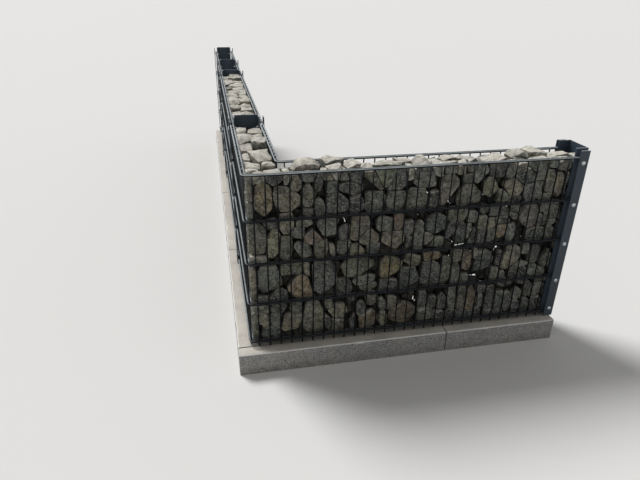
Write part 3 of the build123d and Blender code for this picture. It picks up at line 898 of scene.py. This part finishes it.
class Shell:
    """The vertices and faces of a piece while it is put together."""

    def __init__(self):
        self.vertices = []
        self.faces = []

    def mesh(self, name):
        mesh = bpy.data.meshes.new(name)
        mesh.from_pydata(self.vertices, [], self.faces)
        return mesh

    def skin(self, rings):
        """A body with flat ends through rings that have the same number of points."""
        base, sides = len(self.vertices), len(rings[0])
        for ring in rings:
            self.vertices.extend(ring)
        end = len(self.vertices) - sides
        for start in range(base, end, sides):
            for number in range(sides):
                a, b = start + number, start + (number + 1) % sides
                self.faces.append((a, b, b + sides, a + sides))
        self.faces.append(tuple(reversed(range(base, base + sides))))
        self.faces.append(tuple(range(end, end + sides)))

    def tube(self, path, radius, sides):
        """A round rod along a path of points, with slightly rounded cut ends."""
        path = [Vector(point) for point in path]
        last = len(path) - 1
        rings = []
        for index, point in enumerate(path):
            ahead = path[min(index + 1, last)] - path[max(index - 1, 0)]
            ahead.normalize()
            side = ahead.orthogonal() if abs(ahead.z) > 0.9 else ahead.cross(Vector((0, 0, 1)))
            side.normalize()
            up = ahead.cross(side)
            inset = radius * 0.35 * ((index == 0) - (index == last))
            cut = section(point, side, up, radius * 0.72, sides)
            if index == 0:
                rings.append(cut)
            rings.append(section(point + ahead * inset, side, up, radius, sides))
            if index == last:
                rings.append(cut)
        self.skin(rings)

    def turn(self, profile, sides, origin, along, across, up):
        """A body turned about an axis, from a profile of distance along it and radius."""
        self.skin([section(origin + along * distance, across, up, radius, sides)
                   for distance, radius in profile])

    def bead(self, centre, half):
        """A small weld nugget: a squashed ball of few faces."""
        x, y, z = centre
        base, ring, waist = len(self.vertices), 6, 0.87
        self.vertices.append((x, y, z - half[2]))
        for level in (-0.5, 0.5):
            for number in range(ring):
                angle = math.tau * number / ring
                self.vertices.append((
                    x + half[0] * waist * math.cos(angle),
                    y + half[1] * waist * math.sin(angle),
                    z + half[2] * level,
                ))
        self.vertices.append((x, y, z + half[2]))
        top = base + 1 + 2 * ring
        for number in range(ring):
            low, low_next = base + 1 + number, base + 1 + (number + 1) % ring
            self.faces.append((base, low_next, low))
            self.faces.append((low, low_next, low_next + ring, low + ring))
            self.faces.append((low + ring, low_next + ring, top))


def section(centre, side, up, radius, sides):
    """Points round a centre in the plane of two directions."""
    angles = [math.tau * (number + 0.5) / sides for number in range(sides)]
    return [(centre + (side * math.cos(a) + up * math.sin(a)) * radius)[:] for a in angles]


def build_rubble():
    """One mesh of stones for each bay, in place of the bay's plain fill."""
    laying = random.Random(7)
    stones = [*lay_out_front(laying), *lay_out_side(laying)]
    rng = random.Random(23)
    part_neighbours(stones, rng)
    let_daylight_through(stones)
    noise.seed_set(NOISE_SEED)
    heaps = {}
    for stone in stones:
        chip(stone, rng)
        mesh = carve(stone, rng)
        if mesh is None:
            continue
        shift = tuple(rng.uniform(-40, 40) for _ in range(3))
        roughen(mesh, stone, shift)
        heap = heaps.setdefault(stone.bay.name, (Shell(), [], [], [], []))
        shell, tints, shifts, grains, soil_and_shade_shares = heap
        base, count = len(shell.vertices), len(mesh.verts)
        for number, vertex in enumerate(mesh.verts):
            vertex.index = number
            shell.vertices.append(vertex.co[:])
            soil_and_shade_shares.append(soil_and_shade_share(vertex.co, stone.bay))
        shell.faces.extend([base + vertex.index for vertex in face.verts] for face in mesh.faces)
        mesh.free()
        color, grain = KINDS[stone.kind]
        level = rng.uniform(0.86, 1.14)
        tint = linear(*[min(255, channel * level + rng.uniform(-2.5, 2.5)) for channel in color])
        tints.extend([(*tint, 1.0)] * count)
        shifts.extend([shift] * count)
        grains.extend([grain * rng.uniform(0.6, 1.1)] * count)
    for bay, (shell, tints, shifts, grains, soil_and_shade_shares) in heaps.items():
        name = f"{bay}_rubble"
        piece = new_piece(name, shell.mesh(name), RUBBLE, 38)
        for attribute, kind, key, values in (
            ("stone_tint", "FLOAT_COLOR", "color", tints),
            ("stone_shift", "FLOAT_VECTOR", "vector", shifts),
            ("stone_grain", "FLOAT", "value", grains),
            ("stone_soil", "FLOAT", "value", soil_and_shade_shares),
        ):
            layer = piece.data.attributes.new(attribute, kind, "POINT")
            layer.data.foreach_set(key, np.ravel(values))
        node = bay.replace("side_", "side_fill_") if bay.startswith("side") else "front_fill"
        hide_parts(node)


# Mats

WELD_HALF = (0.0040, 0.0020, 0.0046)


def rail_path(plane, offset, height, start, end, on_side):
    """A straight rail, or one that comes round the corner where it has no start of its own."""
    if start is not None:
        return [world_point(u, plane + offset, height, on_side) for u in (start, end)]
    turn = plane + BEND_RADIUS
    radius = BEND_RADIUS - offset
    bend = [
        (turn - radius * math.cos(a), turn - radius * math.sin(a), height)
        for a in np.linspace(0, math.pi / 2, 9)
    ]
    return [*bend, (end, plane + offset, height)]


def add_mat(shell, plane, start, end, first, on_side):
    """One double-rod mat: pairs of rails, uprights between them and a weld at each crossing."""
    for offset in (-RAIL_OFFSET, RAIL_OFFSET):
        for height in RAIL_LEVELS:
            shell.tube(rail_path(plane, offset, height, start, end, on_side), RAIL_RADIUS, 12)
    count = int((end - UPRIGHT_MARGIN - first) / UPRIGHT_PITCH + 1e-6) + 1
    for number in range(count):
        place = first + number * UPRIGHT_PITCH
        ends = [world_point(place, plane, height, on_side) for height in (KERB_TOP, UPRIGHT_TOP)]
        shell.tube(ends, UPRIGHT_RADIUS, 10)
        for height in RAIL_LEVELS:
            for side in (-UPRIGHT_RADIUS, UPRIGHT_RADIUS):
                weld = world_point(place, plane + side, height, on_side)
                shell.bead(weld, world_point(*WELD_HALF, on_side))


def build_mats():
    """Both mats of each bay as round, welded rods."""
    shell = Shell()
    for plane, first in zip(MAT_PLANES, FRONT_FIRST_UPRIGHTS):
        add_mat(shell, plane, None, FRONT_BAY + END_LAP, plane + first, False)
    piece = new_piece("front_mats", shell.mesh("front_mats"), MAT_STEEL, 50)
    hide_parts("front_outer_mat", "front_inner_mat", "front_uprights")
    before = 0.0
    for number, line in enumerate(SIDE_LINES, start=1):
        shell = Shell()
        end = line + END_LAP if number == len(SIDE_LINES) else line - MAT_GAP / 2
        for plane in MAT_PLANES:
            after, gap = (plane, BEND_RADIUS) if number == 1 else (before, MAT_GAP / 2)
            add_mat(shell, plane, after + gap, end, after + SIDE_FIRST_UPRIGHT, True)
        name = f"side_mats_{number}"
        piece = new_piece(name, shell.mesh(name), MAT_STEEL, 50)
        nodes = (f"side_outer_mat_{number}", f"side_inner_mat_{number}", f"side_uprights_{number}")
        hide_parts(*nodes)
        before = line


# Bolts. Each part has its number of sides and its profile of distance behind the clamp strip's face
# and radius: cup head with shank, square neck, washer, nut, and the shank's end.
BOLT_PARTS = (
    (20, ((-0.0048, 0.0015), (-0.0046, 0.0040), (-0.0037, 0.0068), (-0.0022, 0.0090),
          (-0.0008, 0.0101), (0.0, 0.0103), (0.0, 0.0042), (0.0310, 0.0040))),
    (4, ((0.0001, 0.0060), (0.0049, 0.0060))),
    (18, ((0.0312, 0.0095), (0.0328, 0.0095))),
    (6, ((0.0328, 0.0070), (0.0332, 0.0075), (0.0390, 0.0075), (0.0394, 0.0070))),
    (12, ((0.0394, 0.0039), (0.0426, 0.0039), (0.0432, 0.0034))),
)


def build_bolts():
    """Cup-square bolts through the clamp strips, with washer and nut inside the post."""
    lines = [(FRONT_BAY, False)] + [(line, True) for line in SIDE_LINES]
    for number, (line, on_side) in enumerate(lines, start=1):
        shell = Shell()
        for face, inward in ((-CLAMP_FACE, 1.0), (MAT_SPACING + CLAMP_FACE, -1.0)):
            along = Vector(world_point(0, inward, 0, on_side))
            across = Vector(world_point(1, 0, 0, on_side))
            for height in BOLT_LEVELS:
                origin = Vector(world_point(line, face, height, on_side))
                for sides, profile in BOLT_PARTS:
                    shell.turn(profile, sides, origin, along, across, Vector((0, 0, 1)))
        name = f"bolts_{number}"
        piece = new_piece(name, shell.mesh(name), ZINC, 35)
        wear_edges(piece, 0.0003, 1, 30)


# Kerb: its chamfer, the chamfer's two points in the outline, the step between rings of points, the
# height below which points keep their level, how near to a face a point moves with it, and how rough
# the faces are.
KERB_CHAMFER = 0.004
CHAMFER_POINTS = (4, 5)
KERB_STEP = 0.022
LEVEL_KEPT = 0.05
FACE_REACH = 0.0045
KERB_ROUGHNESS = 0.0008


def kerb_outline(width, height):
    """Section of a kerb stone, across and up, from its outer foot over the top."""
    return (
        (0, 0), (0, 0.03), (0, 0.065), (0, height - 0.012), (0, height - KERB_CHAMFER),
        (KERB_CHAMFER, height), (0.014, height), (width / 2, height), (width - 0.006, height),
        (width, height - 0.002), (width, height / 2), (width, 0),
    )


def kerb_block(start, length, outline, on_side):
    """A kerb stone's outline drawn out along the wing, with rings close enough to chip."""
    steps = max(2, round(length / KERB_STEP))
    mesh = bmesh.new()
    rings = []
    for step in range(steps + 1):
        place = start[0] + length * step / steps
        rings.append([
            mesh.verts.new(world_point(place, start[1] + across, start[2] + up, on_side))
            for across, up in outline
        ])
    for before, after in zip(rings, rings[1:]):
        for number in range(len(outline)):
            following = (number + 1) % len(outline)
            mesh.faces.new((before[number], before[following], after[following], after[number]))
    mesh.faces.new(rings[0])
    mesh.faces.new(list(reversed(rings[-1])))
    bmesh.ops.recalc_face_normals(mesh, faces=mesh.faces[:])
    return mesh


def chip_kerb(mesh, low, high, outline):
    """Moves a kerb stone's faces in by noise, except its underside, and its chamfer by more."""
    centre = (low + high) / 2
    for index, vertex in enumerate(mesh.verts):
        rough = noise.noise(vertex.co * 38.0) * 0.5 + 0.5
        lost = max(0.0, noise.noise(vertex.co * 23.0 + Vector((5, 1, 9))) - 0.18) * 0.007
        depth = KERB_ROUGHNESS * rough + (lost if index % len(outline) in CHAMFER_POINTS else 0.0)
        for axis in range(3):
            if axis == 2 and vertex.co.z < LEVEL_KEPT:
                continue
            inward = math.copysign(1.0, centre[axis] - vertex.co[axis])
            if abs(vertex.co[axis] - (low[axis] if inward > 0 else high[axis])) < FACE_REACH:
                vertex.co[axis] += inward * depth


def build_kerbs():
    """Granite kerb stones with a chamfered, chipped arris, in place of the plain blocks."""
    names = [name for name in sorted(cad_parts) if "kerb" in name]
    for name in names:
        low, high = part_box(name)
        on_side = name.startswith("side")
        length, width, height = world_point(*(high - low), on_side)
        outline = kerb_outline(width, height)
        mesh = kerb_block(world_point(*low, on_side), length, outline, on_side)
        chip_kerb(mesh, low, high, outline)
        data = bpy.data.meshes.new(name)
        mesh.to_mesh(data)
        mesh.free()
        piece = new_piece(f"{name}_stone", data, GRANITE, 28)
        wear_edges(piece, 0.0012, 2, 50)
        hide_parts(name)


def dress_nodes():
    """Materials and worn edges for the CAD nodes that stay."""
    for name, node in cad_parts.items():
        if node.hide_render:
            continue
        if name.startswith("post"):
            material, width = POST_STEEL, 0.0008
        elif "clamp" in name:
            material, width = CLAMP_STEEL, 0.0008
        else:
            material, width = CONCRETE, 0.003
        node.data.materials.clear()
        node.data.materials.append(material)
        wear_edges(node, width, 2, 40)


# Light, floor and camera

CAMERA_TURNS = (11.762, -26.218, 0.768)
CAMERA_LENS = 30.04
FLOOR_REACH = 70
WORLD_LIGHT = 0.31
SUN_LIGHT = 2.7
SUN_SPREAD = 22
SUN_WAY = (0.42, -0.52, -0.82)
WHITE = (1.0, 1.0, 1.0, 1.0)


def build_floor():
    edge = FLOOR_REACH
    square = [(-edge, -edge, 0), (edge, -edge, 0), (edge, edge, 0), (-edge, edge, 0)]
    mesh = bpy.data.meshes.new("floor")
    mesh.from_pydata(square, [], [(0, 1, 2, 3)])
    floor = bpy.data.objects.new("floor", mesh)
    bpy.context.scene.collection.objects.link(floor)
    g = Graph("floor")
    g.shader.inputs["Base Color"].default_value = (*linear(229, 228, 226), 1.0)
    g.shader.inputs["Roughness"].default_value = 0.9
    g.shader.inputs["Specular IOR Level"].default_value = 0.1
    mesh.materials.append(g.material)


def build_light():
    """A soft sun and a dim white sky, which is plain white to the camera and in reflections."""
    world = bpy.data.worlds.new("world")
    world.use_nodes = True
    tree = world.node_tree
    light = tree.nodes["Background"]
    shown = tree.nodes.new("ShaderNodeBackground")
    for background, strength in ((light, WORLD_LIGHT), (shown, 1.0)):
        background.inputs["Color"].default_value = WHITE
        background.inputs["Strength"].default_value = strength
    path = tree.nodes.new("ShaderNodeLightPath")
    seen = path.outputs["Is Camera Ray"]
    for ray in ("Is Glossy Ray", "Is Transmission Ray"):
        either = tree.nodes.new("ShaderNodeMath")
        either.operation = "MAXIMUM"
        tree.links.new(seen, either.inputs[0])
        tree.links.new(path.outputs[ray], either.inputs[1])
        seen = either.outputs[0]
    blend = tree.nodes.new("ShaderNodeMixShader")
    for number, source in enumerate((seen, light.outputs[0], shown.outputs[0])):
        tree.links.new(source, blend.inputs[number])
    tree.links.new(blend.outputs[0], tree.nodes["World Output"].inputs["Surface"])
    bpy.context.scene.world = world

    lamp = bpy.data.lights.new("key", "SUN")
    lamp.energy = SUN_LIGHT
    lamp.angle = math.radians(SUN_SPREAD)
    key = bpy.data.objects.new("key", lamp)
    key.rotation_mode = "QUATERNION"
    key.rotation_quaternion = Vector(SUN_WAY).to_track_quat("-Z", "Y")
    bpy.context.scene.collection.objects.link(key)


def build_camera():
    """The photograph's viewpoint: place and turn in the wall's frame, lens for a 36 mm wide frame."""
    yaw, pitch, roll = (math.radians(a) for a in CAMERA_TURNS)
    ahead = Vector((math.sin(yaw) * math.cos(pitch), math.cos(yaw) * math.cos(pitch), math.sin(pitch)))
    right = Vector((math.cos(yaw), -math.sin(yaw), 0.0))
    up = right.cross(ahead)
    turned_right = right * math.cos(roll) + up * math.sin(roll)
    turned_up = up * math.cos(roll) - right * math.sin(roll)
    place = Matrix((turned_right, turned_up, -ahead)).transposed().to_4x4()
    place.translation = Vector(CAMERA_PLACE)
    data = bpy.data.cameras.new("camera")
    data.lens = CAMERA_LENS
    data.sensor_width = 36.0
    data.sensor_fit = "HORIZONTAL"
    camera = bpy.data.objects.new("camera", data)
    camera.matrix_world = place
    bpy.context.scene.collection.objects.link(camera)
    bpy.context.scene.camera = camera


build_rubble()
build_mats()
build_bolts()
build_kerbs()
dress_nodes()
build_floor()
build_light()
build_camera()

bpy.context.scene.view_settings.view_transform = "Standard"
